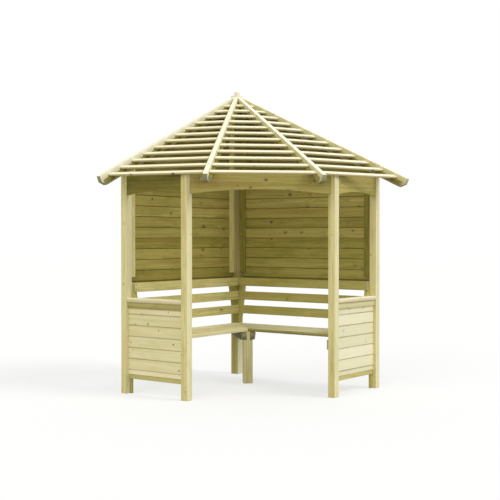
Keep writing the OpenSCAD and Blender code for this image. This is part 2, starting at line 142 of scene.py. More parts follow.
class Signal:
    """A shader socket's value, written in Python expressions."""

    def __init__(self, graph: "Graph", socket: bpy.types.NodeSocket) -> None:
        """Wraps a socket.

        Args:
            graph: The graph that the socket belongs to.
            socket: The output socket.
        """
        self.graph = graph
        self.socket = socket

    def _maths(self, operation: str, *others: "Signal | float") -> "Signal":
        """Returns a Math node's result for this signal and the others."""
        return self.graph.node("ShaderNodeMath", {"operation": operation}, [self, *others])

    def __add__(self, other: "Signal | float") -> "Signal":
        """Returns the sum."""
        return self._maths("ADD", other)

    def __radd__(self, other: float) -> "Signal":
        """Returns the sum."""
        return self._maths("ADD", other)

    def __sub__(self, other: "Signal | float") -> "Signal":
        """Returns the difference."""
        return self._maths("SUBTRACT", other)

    def __rsub__(self, other: float) -> "Signal":
        """Returns the difference, the other way round."""
        return self.graph.node("ShaderNodeMath", {"operation": "SUBTRACT"}, [other, self])

    def __mul__(self, other: "Signal | float") -> "Signal":
        """Returns the product."""
        return self._maths("MULTIPLY", other)

    def __rmul__(self, other: float) -> "Signal":
        """Returns the product."""
        return self._maths("MULTIPLY", other)

    def __truediv__(self, other: "Signal | float") -> "Signal":
        """Returns the quotient."""
        return self._maths("DIVIDE", other)

    def power(self, exponent: float) -> "Signal":
        """Returns this signal raised to a power."""
        return self._maths("POWER", exponent)

    def sine(self) -> "Signal":
        """Returns the sine of this signal."""
        return self._maths("SINE")

    def fraction(self) -> "Signal":
        """Returns what is left of this signal above its whole part."""
        return self._maths("FRACT")

    def step(self, low: float, high: float) -> "Signal":
        """Returns 0 below low, 1 above high and a smooth rise between them.

        Args:
            low: Value where the rise starts; above high, the step falls instead.
            high: Value where the rise ends.

        Returns:
            The step.
        """
        falls = low > high
        ends = [high, low] if falls else [low, high]
        targets = [1.0, 0.0] if falls else [0.0, 1.0]
        settings = {"interpolation_type": "SMOOTHSTEP"}
        return self.graph.node("ShaderNodeMapRange", settings, [self, *ends, *targets])


class Graph:
    """Builds the nodes of one material or world."""

    def __init__(self, owner: bpy.types.Material | bpy.types.World) -> None:
        """Empties the owner's node tree.

        Args:
            owner: The material or world.
        """
        self.owner = owner
        owner.use_nodes = True
        self.tree = owner.node_tree
        self.tree.nodes.clear()

    def node(
        self, kind: str, settings: dict, inputs: Sequence | dict, output: int | str = 0
    ) -> Signal:
        """Adds a node.

        Args:
            kind: The node's type.
            settings: Properties that are set first.
            inputs: Values or signals, in the sockets' order or by the sockets' names or numbers.
            output: Name or number of the output that is returned.

        Returns:
            The node's output.
        """
        made = self.tree.nodes.new(kind)
        for key, value in settings.items():
            setattr(made, key, value)
        pairs = inputs.items() if isinstance(inputs, dict) else enumerate(inputs)
        for key, value in pairs:
            if isinstance(value, Signal):
                self.tree.links.new(value.socket, made.inputs[key])
            else:
                made.inputs[key].default_value = value
        return Signal(self, made.outputs[output])

    def mix(
        self,
        factor: Signal | float,
        first: Signal | Colour,
        second: Signal | Colour,
        blend: str = "MIX",
    ) -> Signal:
        """Mixes two colours.

        Args:
            factor: 0 for the first colour, 1 for the second.
            first: First colour.
            second: Second colour.
            blend: Blend type.

        Returns:
            The mixed colour.
        """
        settings = {"data_type": "RGBA", "blend_type": blend, "clamp_factor": True}
        colours = [c if isinstance(c, Signal) else (*c, 1.0) for c in (first, second)]
        inputs = {MIX_FACTOR: factor, MIX_FIRST: colours[0], MIX_SECOND: colours[1]}
        return self.node("ShaderNodeMix", settings, inputs, MIX_RESULT)

    def scaled(self, vector: Signal, scale: Triple, shift: Triple = (0.0, 0.0, 0.0)) -> Signal:
        """Stretches and shifts coordinates.

        Args:
            vector: The coordinates.
            scale: Factor along each axis.
            shift: Amount added along each axis.

        Returns:
            The new coordinates.
        """
        settings = {"operation": "MULTIPLY_ADD"}
        return self.node("ShaderNodeVectorMath", settings, [vector, scale, shift])

    def noise(
        self, vector: Signal, scale: float, detail: float = 2.0, roughness: float = 0.5
    ) -> Signal:
        """Returns noise from 0 to 1 at these coordinates.

        Args:
            vector: The coordinates.
            scale: Cells per unit.
            detail: Octaves.
            roughness: Share that each octave adds.

        Returns:
            The noise.
        """
        values = {"Vector": vector, "Scale": scale, "Detail": detail, "Roughness": roughness}
        return self.node("ShaderNodeTexNoise", {}, values, "Fac")

    def attribute(self, name: str, output: str = "Fac") -> Signal:
        """Returns an attribute that the piece carries."""
        return self.node("ShaderNodeAttribute", {"attribute_name": name}, [], output)

    def place(self) -> Signal:
        """Returns the place on the object."""
        return self.node("ShaderNodeTexCoord", {}, [], "Object")

    def seen(self) -> Signal:
        """Returns 1 for rays from the camera or off a shiny face, and 0 for light that falls."""
        rays = ("Is Camera Ray", "Is Glossy Ray")
        camera, glossy = (self.node("ShaderNodeLightPath", {}, [], name) for name in rays)
        return camera + glossy

    def principled(self, values: dict) -> Signal:
        """Returns a Principled shader with these socket values."""
        return self.node("ShaderNodeBsdfPrincipled", {}, values, "BSDF")

    def finish(self, shader: Signal, kind: str = "ShaderNodeOutputMaterial") -> bpy.types.ID:
        """Links a shader to a new output node.

        Args:
            shader: The shader.
            kind: The output node's type.

        Returns:
            The material or world.
        """
        output = self.tree.nodes.new(kind)
        self.tree.links.new(shader.socket, output.inputs["Surface"])
        return self.owner


@dataclass(frozen=True)
class Pattern:
    """Noise that is stretched along a board: factors along, across and through it.

    Where the noise makes a mask, the mask rises from 0 to 1 over the values in rise.
    """

    stretch: Triple
    scale: float = 1.0
    detail: float = 2.0
    roughness: float = 0.5
    shift: Triple = (0.0, 0.0, 0.0)
    rise: Span = (0.0, 1.0)

    def drawn(self, g: Graph, grain: Signal) -> Signal:
        """Returns the noise at the board's grain coordinates.

        Args:
            g: The graph.
            grain: Coordinates along and across the board.

        Returns:
            The noise, from 0 to 1.
        """
        vector = g.scaled(grain, self.stretch, self.shift)
        return g.noise(vector, self.scale, self.detail, self.roughness)

    def mask(self, g: Graph, grain: Signal) -> Signal:
        """Returns the noise's mask at the board's grain coordinates."""
        return self.drawn(g, grain).step(*self.rise)


FIBRES = Pattern((3.0, 110.0, 110.0), detail=4.0, roughness=0.65, rise=(0.4, 0.7))
STREAKS = Pattern((0.9, 42.0, 42.0), detail=3.0, roughness=0.6, rise=(0.46, 0.62))
BLOTCHES = Pattern((3.0, 9.0, 9.0), scale=1.5, detail=3.0, roughness=0.6, rise=(0.46, 0.66))
WARM_BANDS = Pattern(
    (0.6, 16.0, 16.0), roughness=0.6, shift=(3.0, 0.0, 0.0), rise=(0.54, 0.7)
)
DRYING_CHECKS = Pattern(
    (3.0, 60.0, 60.0), scale=3.0, detail=4.0, roughness=0.7, rise=(0.6, 0.68)
)
RING_DRIFT = Pattern((0.7, 2.0, 2.0), scale=1.2, detail=1.5)
KNOT_OUTLINE = Pattern((45.0, 90.0, 45.0))


@dataclass(frozen=True)
class PineFinish:
    """Pressure-treated softwood. Lengths are metres, colours linear and shares from 0 to 1.

    The edges of a knot's core, halo and swirl are distances from its middle, in knot radii.
    """

    name: str
    early: Colour
    late: Colour
    stain: Colour
    heartwood: Colour
    knot: Colour = (0.15, 0.075, 0.025)
    halo: Colour = (0.36, 0.24, 0.085)
    end_grain: Colour = (0.40, 0.39, 0.22)
    # Colour multiplied in for grime and painted shade, and colour mixed in for painted sunlight.
    grime_and_painted_shade: Colour = (0.20, 0.13, 0.05)
    bleached: Colour = (0.88, 0.86, 0.72)
    ring: float = 0.0046
    ring_drift: float = 0.022
    ring_share: float = 0.6
    ring_relief: float = 0.00022
    fibre_share: float = 0.4
    fibre_relief: float = 0.0003
    knot_spacing: float = 0.062
    knot_radius: float = 0.0085
    knot_stretch: Triple = (0.72, 1.0, 1.0)
    smallest_knot: float = 0.3
    faintest_knot: float = 0.45
    knot_contrast: float = 0.5
    knot_wobble: float = 0.7
    knot_push: float = 0.004
    knot_relief: float = 0.0005
    knotless: Span = (0.36, 0.4)
    core_edge: Span = (1.1, 0.66)
    halo_edge: Span = (2.4, 0.9)
    swirl_edge: Span = (4.6, 0.6)
    halo_share: float = 0.6
    warm_share: float = 0.5
    streak_share: float = 0.5
    blotch_share: float = 0.42
    uptake_share: float = 0.16
    uptake_turns: float = 7.31
    pale_share: float = 0.2
    tone_floor: float = 0.76
    tone_range: float = 0.36
    blue_floor: float = 0.7
    blue_range: float = 0.3
    end_dark: float = 0.5
    end_ring_share: float = 0.5
    check_share: float = 0.4
    roughness: float = 0.62
    fibre_roughness: float = 0.16
    end_roughness: float = 0.12
    knot_polish: float = 0.22
    specular: float = 0.28
    bump: float = 0.6

    def material(self) -> bpy.types.Material:
        """Returns the finish as a material that follows each board's own grain."""
        g = Graph(bpy.data.materials.new(self.name))
        grain = g.attribute(GRAIN, "Vector")
        board, end = g.attribute(BOARD), g.attribute(END)
        core, halo, swirl = self._knots(g, grain)
        latewood, fibre = self._rings(g, grain, swirl)
        rings = latewood * self.ring_share + fibre.step(*FIBRES.rise) * self.fibre_share
        colour = g.mix(rings, self.early, self.late)
        colour = self._stained(g, grain, board, colour)
        colour = self._toned(g, board, colour)
        colour = g.mix(halo * self.halo_share, colour, self.halo)
        colour = g.mix(core, colour, self.knot)
        colour = g.mix(end, colour, self._sawn_end(g, grain, latewood))
        # Painted sunlight pales the faces towards the light; grime and painted shade darken joints,
        # undersides and inward faces under the roof.
        colour = g.mix(g.attribute(PAINTED_SUNLIGHT), colour, self.bleached)
        colour = g.mix(g.attribute(GRIME_AND_PAINTED_SHADE), colour, self.grime_and_painted_shade, "MULTIPLY")
        rough = fibre * self.fibre_roughness + self.roughness
        rough = rough + end * self.end_roughness - core * self.knot_polish
        height = latewood * self.ring_relief + fibre * self.fibre_relief - core * self.knot_relief
        relief = {"Strength": self.bump, "Distance": 1.0, "Height": height}
        values = {
            "Base Color": colour,
            "Roughness": rough,
            "Normal": g.node("ShaderNodeBump", {}, relief, "Normal"),
            "Specular IOR Level": self.specular,
        }
        return g.finish(g.principled(values))

    def _stained(self, g: Graph, grain: Signal, board: Signal, colour: Signal) -> Signal:
        """Adds the preservative's uneven green cast, in streaks and whole boards, and heartwood.

        Args:
            g: The graph.
            grain: Coordinates along and across the board.
            board: The board's own number from 0 to 1.
            colour: The colour of the bare rings.

        Returns:
            The stained colour.
        """
        uptake = (board * self.uptake_turns).fraction()
        heavy = STREAKS.mask(g, grain) * self.streak_share
        heavy = heavy + BLOTCHES.mask(g, grain) * self.blotch_share
        heavy = heavy + uptake * self.uptake_share - board * self.pale_share
        colour = g.mix(heavy, colour, self.stain)
        return g.mix(WARM_BANDS.mask(g, grain) * self.warm_share, colour, self.heartwood)

    def _toned(self, g: Graph, board: Signal, colour: Signal) -> Signal:
        """Makes each board lighter or darker, and the dark ones yellower.

        Args:
            g: The graph.
            board: The board's own number from 0 to 1.
            colour: The colour so far.

        Returns:
            The board's colour.
        """
        tint = board * self.tone_range + self.tone_floor
        blue = tint * (board * self.blue_range + self.blue_floor)
        tone = g.node("ShaderNodeCombineColor", {}, [tint, tint, blue])
        return g.mix(1.0, colour, tone, "MULTIPLY")

    def _sawn_end(self, g: Graph, grain: Signal, latewood: Signal) -> Signal:
        """Returns the colour of an end face, with rings and drying checks.

        Args:
            g: The graph.
            grain: Coordinates along and across the board.
            latewood: Mask of the rings' dark wood.

        Returns:
            The colour.
        """
        checks = DRYING_CHECKS.mask(g, grain)
        dark = tuple(self.end_dark * c for c in self.end_grain)
        share = latewood * self.end_ring_share + checks * self.check_share
        return g.mix(share, self.end_grain, dark)

    def _knots(self, g: Graph, grain: Signal) -> tuple[Signal, Signal, Signal]:
        """Scatters knots over the faces.

        Args:
            g: The graph.
            grain: Coordinates along and across the board.

        Returns:
            Masks of the dark knots and of their halos, and how far they push the rings aside.
        """
        wobble = (KNOT_OUTLINE.drawn(g, grain) - 0.5) * self.knot_wobble
        whorls = g.scaled(grain, self.knot_stretch)
        settings = {"voronoi_dimensions": "3D", "feature": "F1"}
        values = {"Vector": whorls, "Scale": 1.0 / self.knot_spacing, "Randomness": 1.0}
        nearest = g.node("ShaderNodeTexVoronoi", settings, values, "Distance")
        cell = g.node("ShaderNodeTexVoronoi", settings, values, "Color")
        chance = g.node("ShaderNodeSeparateColor", {}, [cell], "Red")
        size = g.node("ShaderNodeSeparateColor", {}, [cell], "Green")
        present = chance.step(*self.knotless)
        least = self.knot_radius * self.smallest_knot
        radius = size.power(2.0) * (self.knot_radius * (1.0 - self.smallest_knot)) + least
        reach = nearest * self.knot_spacing / radius + wobble
        strength = size * self.knot_contrast + self.faintest_knot
        core = reach.step(*self.core_edge) * present * strength
        halo = reach.step(*self.halo_edge) * present
        swirl = reach.step(*self.swirl_edge) * present
        return core, halo, swirl

    def _rings(self, g: Graph, grain: Signal, swirl: Signal) -> tuple[Signal, Signal]:
        """Grows the rings round a pith that lies outside a board or inside a post.

        Args:
            g: The graph.
            grain: Coordinates along and across the board.
            swirl: How far knots push the rings aside.

        Returns:
            Latewood mask and fine fibre noise.
        """
        section = g.scaled(grain, (0.0, 1.0, 1.0))
        around = g.node("ShaderNodeVectorMath", {"operation": "LENGTH"}, [section], "Value")
        drift = RING_DRIFT.drawn(g, grain) * self.ring_drift
        radius = around + drift + swirl * self.knot_push
        wave = (radius * (2 * math.pi / self.ring)).sine() * 0.5 + 0.5
        return wave.power(2.0), FIBRES.drawn(g, grain)


@dataclass(frozen=True)
class ZincFinish:
    """Dull galvanised steel with darker tarnish spots."""

    name: str = "galvanised_steel"
    colour: Colour = (0.34, 0.34, 0.32)
    tarnish: Colour = (0.12, 0.11, 0.09)
    metallic: float = 0.85
    roughness: float = 0.38
    spot_roughness: float = 0.3
    spots_per_metre: float = 900.0
    spot_edge: Span = (0.45, 0.65)

    def material(self) -> bpy.types.Material:
        """Returns the finish as a material."""
        g = Graph(bpy.data.materials.new(self.name))
        spots = g.noise(g.place(), self.spots_per_metre, 3.0, 0.6)
        colour = g.mix(spots.step(*self.spot_edge), self.colour, self.tarnish)
        rough = spots * self.spot_roughness + self.roughness
        values = {"Base Color": colour, "Roughness": rough, "Metallic": self.metallic}
        return g.finish(g.principled(values))


@dataclass(frozen=True)
class PaperFinish:
    """Pale studio floor that fades into a white background."""

    name: str = "paper_floor"
    colour: Colour = (0.86, 0.86, 0.86)
    mottled: Colour = (0.84, 0.84, 0.83)
    mottle_share: float = 0.1
    mottle_scale: float = 0.8
    bounce: Colour = (0.42, 0.41, 0.34)
    roughness: float = 0.9
    glow: float = 0.62

    def material(self) -> bpy.types.Material:
        """Returns the finish as a material."""
        g = Graph(bpy.data.materials.new(self.name))
        seen = g.seen()
        mottle = g.noise(g.place(), self.mottle_scale)
        colour = g.mix(mottle * self.mottle_share, self.colour, self.mottled)
        colour = g.mix(seen, self.bounce, colour)
        paper = g.principled({"Base Color": colour, "Roughness": self.roughness})
        light = {"Color": WHITE, "Strength": 1.0}
        white = g.node("ShaderNodeEmission", {}, light, "Emission")
        shaders = [seen * self.glow, paper, white]
        return g.finish(g.node("ShaderNodeMixShader", {}, shaders, "Shader"))


PINE = {
    # Paler copy: painted sunlight.
    Exposure.SUNLIT: PineFinish(
        "pale_pine",
        early=(0.88, 0.82, 0.57),
        late=(0.75, 0.64, 0.36),
        stain=(0.71, 0.65, 0.34),
        heartwood=(0.77, 0.62, 0.33),
    ),
    Exposure.OPEN: PineFinish(
        "pine",
        early=(0.79, 0.71, 0.38),
        late=(0.61, 0.50, 0.21),
        stain=(0.51, 0.46, 0.17),
        heartwood=(0.62, 0.45, 0.17),
        knot_spacing=0.095,
    ),
    # Darker, more saturated copy: painted shade, for the timbers in shade.
    Exposure.SHADED: PineFinish(
        "shaded_pine",
        early=(0.45, 0.385, 0.115),
        late=(0.295, 0.23, 0.052),
        stain=(0.235, 0.225, 0.047),
        heartwood=(0.32, 0.205, 0.05),
        knot=(0.09, 0.062, 0.022),
        halo=(0.26, 0.19, 0.06),
        knot_spacing=0.068,
        knot_radius=0.013,
    ),
}


def deselect_all() -> None:
    """Deselects every object."""
    bpy.ops.object.select_all(action="DESELECT")


def activate(piece: Node) -> None:
    """Selects one object alone and makes it the active one.

    Args:
        piece: The object.
    """
    deselect_all()
    piece.hide_set(False)
    piece.select_set(True)
    bpy.context.view_layer.objects.active = piece


def edit_all(piece: Node) -> None:
    """Opens an object for editing with all of its mesh selected.

    Args:
        piece: The object.
    """
    activate(piece)
    bpy.ops.object.mode_set(mode="EDIT")
    bpy.ops.mesh.select_all(action="SELECT")


def clamped(value: float) -> float:
    """Returns a value that is held between 0 and 1."""
    return min(max(value, 0.0), 1.0)


@dataclass
class Timber:
    """One CAD node of one or more boards, copied and worked up as sawn and planed timber.

    Lengths are metres. A shade is 0 for the finish's darkest boards and 1 for its palest, and may
    lie outside these; a timber's span of shades also stands for painted light and shade. Painted
    sunlight, joint grime and painted shade are shares, and cut is a height at which painted
    sunlight and painted shade may change, or 0 for none.
    """

    node: str
    exposure: Exposure
    heart: Heart = Heart.OUTSIDE
    arris: float = 0.002
    shades: Span = (0.15, 0.95)
    bleach: float = 0.0
    joint_grime_and_painted_shade: float = 0.0
    painted_roof_shade: float = 0.0
    painted_underside_shade: float = 0.0
    shortest_edge: float = 0.009
    cut: float = 0.0

    def build(self, source: Node, pine: bpy.types.Material, dice: random.Random) -> Node:
        """Makes the piece that stands for the CAD node.

        Args:
            source: The CAD node.
            pine: The finish's material.
            dice: Seeded source of each board's own offsets.

        Returns:
            The finished piece.
        """
        boards = self._boards(self._copied(source))
        for board in boards:
            self._mark_grain(board, dice)
        piece = self._joined(boards)
        self._ease_edges(piece)
        piece.name = f"{self.node}_timber"
        piece.data.materials.clear()
        piece.data.materials.append(pine)
        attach(piece, "root")
        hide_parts(self.node)
        return piece

    def _copied(self, source: Node) -> Node:
        """Copies the CAD node, joins its loose triangles and drops edges between coplanar ones.

        Args:
            source: The CAD node.

        Returns:
            The copy.
        """
        activate(source)
        bpy.ops.object.duplicate()
        piece = bpy.context.active_object
        piece.parent = None
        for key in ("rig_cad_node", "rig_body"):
            del piece[key]
        edit_all(piece)
        bpy.ops.mesh.remove_doubles(threshold=MERGE_DISTANCE)
        bpy.ops.mesh.dissolve_limited(angle_limit=math.radians(COPLANAR_ANGLE))
        if self.cut:
            bpy.ops.mesh.select_all(action="SELECT")
            bpy.ops.mesh.bisect(plane_co=(0.0, 0.0, self.cut), plane_no=(0.0, 0.0, 1.0))
        bpy.ops.object.mode_set(mode="OBJECT")
        return piece

    def _boards(self, piece: Node) -> list[Node]:
        """Splits a piece into its separate boards.

        Args:
            piece: The piece.

        Returns:
            The boards.
        """
        edit_all(piece)
        bpy.ops.mesh.separate(type="LOOSE")
        bpy.ops.object.mode_set(mode="OBJECT")
        return list(bpy.context.selected_objects)

    def _frame(self, board: Node) -> Matrix:
        """Finds a board's own axes from its longest edges.

        Args:
            board: The board.

        Returns:
            Rows along, across and through the board.
        """
        points = [v.co for v in board.data.vertices]
        spans = [points[e.vertices[1]] - points[e.vertices[0]] for e in board.data.edges]
        along = max(spans, key=lambda span: span.length).normalized()
        square = [span for span in spans if abs(span.normalized().dot(along)) < CROSSWISE]
        across = max(square, key=lambda span: span.length)
        across = (across - along * across.dot(along)).normalized()
        return Matrix((along, across, along.cross(across)))

    def _mark_grain(self, board: Node, dice: random.Random) -> None:
        """Writes a board's grain coordinates, its shade, its end faces, its painted sunlight, and
        its grime and painted shade.

        Args:
            board: The board.
            dice: Seeded source of the board's own offsets.
        """
        mesh = board.data
        frame = self._frame(board)
        middle = sum((v.co for v in mesh.vertices), Vector()) / len(mesh.vertices)
        distance = dice.uniform(*PITH_DISTANCE) * self.heart.value
        start = dice.uniform(-GRAIN_OFFSET, GRAIN_OFFSET)
        aside = dice.uniform(-PITH_OFFSET, PITH_OFFSET) * self.heart.value
        pith = Vector((start, aside, distance))
        grain = mesh.attributes.new(GRAIN, "FLOAT_VECTOR", "POINT")
        for vertex in mesh.vertices:
            grain.data[vertex.index].vector = frame @ (vertex.co - middle) + pith
        shade = mesh.attributes.new(BOARD, "FLOAT", "POINT")
        shade.data.foreach_set("value", [dice.uniform(*self.shades)] * len(mesh.vertices))
        ends = mesh.attributes.new(END, "FLOAT", "FACE")
        for face in mesh.polygons:
            ends.data[face.index].value = float(abs(face.normal.dot(frame[0])) > END_FACE)
        self._paint_light_shade_and_grime(mesh, frame)

    def _paint_light_shade_and_grime(self, mesh: bpy.types.Mesh, frame: Matrix) -> None:
        """Paints sunlight and shade: paler towards the light, darker in joints (also grime), under
        the roof and towards a piece's bottom.

        Args:
            mesh: The board's mesh.
            frame: Rows along, across and through the board.
        """
        grime_and_painted_shade, bleach = (mesh.attributes.new(name, "FLOAT", "CORNER") for name in (GRIME_AND_PAINTED_SHADE, PAINTED_SUNLIGHT))
        depths = [frame[2].dot(v.co) for v in mesh.vertices]
        upward = max(frame[1], frame[2], key=lambda axis: abs(axis.z))
        levels = [v.co.dot(upward) * math.copysign(1.0, upward.z) for v in mesh.vertices]
        low, high = min(levels), max(levels)
        for face in mesh.polygons:
            above = face.center.z > RIDGE
            inward = face.normal.y < 0 and not above
            joint = self._joint_share(face, frame, depths)
            # Painted sunlight: faces that look towards the light's side, and faces above the ridge,
            # are painted paler.
            sun = max(PAINTED_SUN_ABOVE_RIDGE * above, face.normal.dot(PAINTED_SUN_DIRECTION)) * self.bleach * (1.0 - joint)
            for corner, vertex in zip(face.loop_indices, face.vertices):
                height = mesh.vertices[vertex].co.z
                # Painted shade from the roof on inward faces, growing with the height above the
                # eaves.
                roof_shade = clamped((height - EAVES) * ROOF_SHADE_RISE) * self.painted_roof_shade * inward
                rise = (levels[vertex] - low) / (high - low)
                reach = rise if self.painted_underside_shade else 1.0
                bleach.data[corner].value = sun * reach * (1.0 - ROOF_SHADE_FADE * roof_shade)
                # Darker towards the bottom of a piece with painted shade, in joints with grime and
                # painted shade, and under the roof with painted shade.
                dark = max(joint * self.joint_grime_and_painted_shade, self.painted_underside_shade * (1.0 - rise), roof_shade)
                grime_and_painted_shade.data[corner].value = min(dark, DARKEST_GRIME_AND_SHADE)

    def _joint_share(
        self, face: bpy.types.MeshPolygon, frame: Matrix, depths: Sequence[float]
    ) -> float:
        """Tells how deep a face lies in the joint between two boards.

        Args:
            face: The face.
            frame: Rows along, across and through the board.
            depths: Each vertex's place through the board.

        Returns:
            0 for the board's front and back, 1 for its edges and for the middle of a rebate.
        """
        if not self.joint_grime_and_painted_shade or abs(face.normal.dot(frame[0])) >= END_FACE:
            return 0.0
        if abs(face.normal.dot(frame[1])) > EDGE_FACE:
            return 1.0
        back, front = min(depths), max(depths)
        depth = sum(depths[i] for i in face.vertices) / len(face.vertices)
        return min(depth - back, front - depth) * 2 / (front - back)

    def _joined(self, boards: list[Node]) -> Node:
        """Joins boards into one object.

        Args:
            boards: The boards.

        Returns:
            The object.
        """
        deselect_all()
        for board in boards:
            board.select_set(True)
        bpy.context.view_layer.objects.active = boards[0]
        if len(boards) > 1:
            bpy.ops.object.join()
        return bpy.context.active_object

    def _ease_edges(self, piece: Node) -> None:
        """Rounds the long sharp edges, which leaves nail and screw holes as they are.

        Args:
            piece: The joined boards.
        """
        activate(piece)
        bpy.ops.object.mode_set(mode="EDIT")
        bpy.ops.mesh.select_mode(type="EDGE")
        bpy.ops.mesh.select_all(action="DESELECT")
        bpy.ops.mesh.edges_select_sharp(sharpness=math.radians(SHARP_ANGLE))
        bpy.ops.object.mode_set(mode="OBJECT")
        points = [v.co for v in piece.data.vertices]
        for edge in piece.data.edges:
            length = (points[edge.vertices[0]] - points[edge.vertices[1]]).length
            edge.select = edge.select and length > self.shortest_edge
        bpy.ops.object.mode_set(mode="EDIT")
        bpy.ops.mesh.bevel(
            offset=self.arris,
            segments=ARRIS_SEGMENTS,
            profile=ARRIS_PROFILE,
            affect="EDGES",
            clamp_overlap=True,
        )
        bpy.ops.object.mode_set(mode="OBJECT")
        bpy.ops.object.shade_smooth_by_angle(angle=math.radians(SMOOTH_ANGLE))
        weighted = piece.modifiers.new("even_faces", "WEIGHTED_NORMAL")
        weighted.keep_sharp = True
        bpy.ops.object.modifier_apply(modifier=weighted.name)


def both_sides(name: str, exposure: Exposure, **traits: object) -> list[Timber]:
    """Names a timber's left and right nodes.

    Args:
        name: The nodes' name after the side.
        exposure: Their finish.
        **traits: Other fields of the timbers.

    Returns:
        The two timbers.
    """
    return [Timber(f"{side}_{name}", exposure, **traits) for side in ("left", "right")]


@dataclass
class SubAssembly(ABC):
    """A group of timbers that are worked up together. Lengths are metres."""

    arris: float = 0.002

    @abstractmethod
    def timbers(self) -> list[Timber]:
        """Returns the timbers in the order in which they are built."""

    def build(self, nodes: dict[str, Node], finishes: Finishes, dice: random.Random) -> None:
        """Builds the group's pieces and reports them.

        Args:
            nodes: The CAD nodes by name.
            finishes: The materials by exposure.
            dice: Seeded source of each board's own offsets.
        """
        for timber in self.timbers():
            piece = timber.build(nodes[timber.node], finishes[timber.exposure], dice)
            LOG.info("%s: %s", type(self).__name__, piece.name)


@dataclass
class Posts(SubAssembly):
    """The five posts and the bench leg, each sawn round the heart of its tree."""

    arris: float = 0.003

    def timbers(self) -> list[Timber]:
        """Returns the timbers in the order in which they are built."""
        # The corner post gets painted shade under the roof, a darker span of shades for the same
        # shade, and painted sunlight above the ridge and on its leg; the others get painted
        # sunlight on their sides toward the light.
        corner = {"bleach": 1.0, "painted_roof_shade": 0.85, "cut": RIDGE}
        square = {"heart": Heart.BOXED, "arris": self.arris}
        pale = (0.85, 0.95)
        return [
            Timber("corner_post", Exposure.OPEN, shades=(0.2, 0.3), **corner, **square),
            Timber("seat_leg", Exposure.OPEN, shades=pale, bleach=0.4, **square),
            *both_sides("side_post", Exposure.OPEN, shades=(0.8, 0.9), bleach=0.55, **square),
            *both_sides("front_post", Exposure.OPEN, shades=pale, bleach=0.5, **square),
        ]


@dataclass
class Walls(SubAssembly):
    """The shiplap of the back walls and the battens behind its joints."""

    board_arris: float = 0.0015

    def timbers(self) -> list[Timber]:
        """Returns the timbers in the order in which they are built."""
        # Grime with painted shade in the joints, and painted shade under the roof.
        joint_grime_and_roof_shade = {"joint_grime_and_painted_shade": 0.5, "painted_roof_shade": 0.6}
        boards = {"shades": (0.35, 1.25), "arris": self.board_arris, **joint_grime_and_roof_shade}
        batten = {"arris": self.arris}
        return [
            *both_sides("wall_boards", Exposure.SHADED, **boards),
            # The left battens are pale as painted light, the right ones dark as painted shade.
            Timber("left_wall_battens", Exposure.OPEN, shades=(0.9, 1.0), **batten),
            Timber("right_wall_battens", Exposure.SHADED, shades=(0.0, 0.2), **batten),
        ]


@dataclass
class Backrest(SubAssembly):
    """The rails of the backrest and the leaning bearers that carry them."""

    rail_arris: float = 0.004
    rails: int = 3

    def timbers(self) -> list[Timber]:
        """Returns the timbers in the order in which they are built."""
        bearer = {"arris": self.arris}
        # The right rails are darker than the left ones, and the bearers between the rails darker
        # still, as painted shade.
        return [
            *self._side_rails("left", (0.4, 0.6)),
            *self._side_rails("right", (-0.3, 0.0)),
            Timber("left_corner_bearer", Exposure.OPEN, shades=(-0.9, -0.8), **bearer),
            Timber("right_corner_bearer", Exposure.OPEN, shades=(-0.6, -0.5), **bearer),
            *both_sides("side_bearer", Exposure.OPEN, shades=(0.0, 0.2), **bearer),
        ]

    def _side_rails(self, side: str, shades: Span) -> list[Timber]:
        """Returns one side's rails, from the lowest up.

        Args:
            side: Left or right.
            shades: Lowest and highest shade.

        Returns:
            The rails.
        """
        names = [f"{side}_back_rail_{k + 1}" for k in range(self.rails)]
        return [Timber(name, Exposure.OPEN, shades=shades, arris=self.rail_arris) for name in names]


@dataclass
class Bench(SubAssembly):
    """The seat boards and what they rest on."""

    seat_arris: float = 0.004

    def timbers(self) -> list[Timber]:
        """Returns the timbers in the order in which they are built."""
        seat = {"arris": self.seat_arris}
        # The right seat is darker than the left, with painted sunlight on top and painted shade on
        # its lower part, and the bearers under the seat are very dark with painted shade.
        painted_shade_seat = {"shades": (0.0, 0.2), "bleach": 0.6, "painted_underside_shade": 0.7, **seat}
        bearer = {"arris": self.arris}
        return [
            Timber("left_bench_boards", Exposure.SUNLIT, shades=(0.4, 0.9), **seat),
            Timber("right_bench_boards", Exposure.OPEN, **painted_shade_seat),
            *both_sides("seat_bearer", Exposure.SHADED, shades=(-1.4, -1.3), **bearer),
            *both_sides("end_bearer", Exposure.SHADED, shades=(-0.8, -0.6), **bearer),
        ]


@dataclass
class EndPanels(SubAssembly):
    """The half-height panels under the side openings, with their frames and cap rails."""

    board_arris: float = 0.0015

    def timbers(self) -> list[Timber]:
        """Returns the timbers in the order in which they are built."""
        # Painted sunlight on the boards, the right top rail and the cap rails; painted shade on the
        # lower part of the cap rails and top rails, where the left top rail is also darker; grime
        # with painted shade in the boards' joints.
        boards = {"shades": (0.1, 1.1), "bleach": 0.8, "joint_grime_and_painted_shade": 0.5}
        sunny = {"shades": (0.5, 0.6), "bleach": 0.6, "painted_underside_shade": 0.3}
        shady = {"shades": (0.1, 0.2), "painted_underside_shade": 0.5}
        cap = {"shades": (0.9, 1.0), "bleach": 0.9, "painted_underside_shade": 0.45}
        frame = {"arris": self.arris}
        return [
            *both_sides("end_boards", Exposure.SUNLIT, arris=self.board_arris, **boards),
            *both_sides("end_stiles", Exposure.OPEN, shades=(-0.1, 0.2), **frame),
            *both_sides("bottom_rail", Exposure.OPEN, shades=(0.2, 0.5), **frame),
            Timber("left_top_rail", Exposure.OPEN, **shady, **frame),
            Timber("right_top_rail", Exposure.SUNLIT, **sunny, **frame),
            *both_sides("cap_rail", Exposure.SUNLIT, **cap, **frame),
        ]


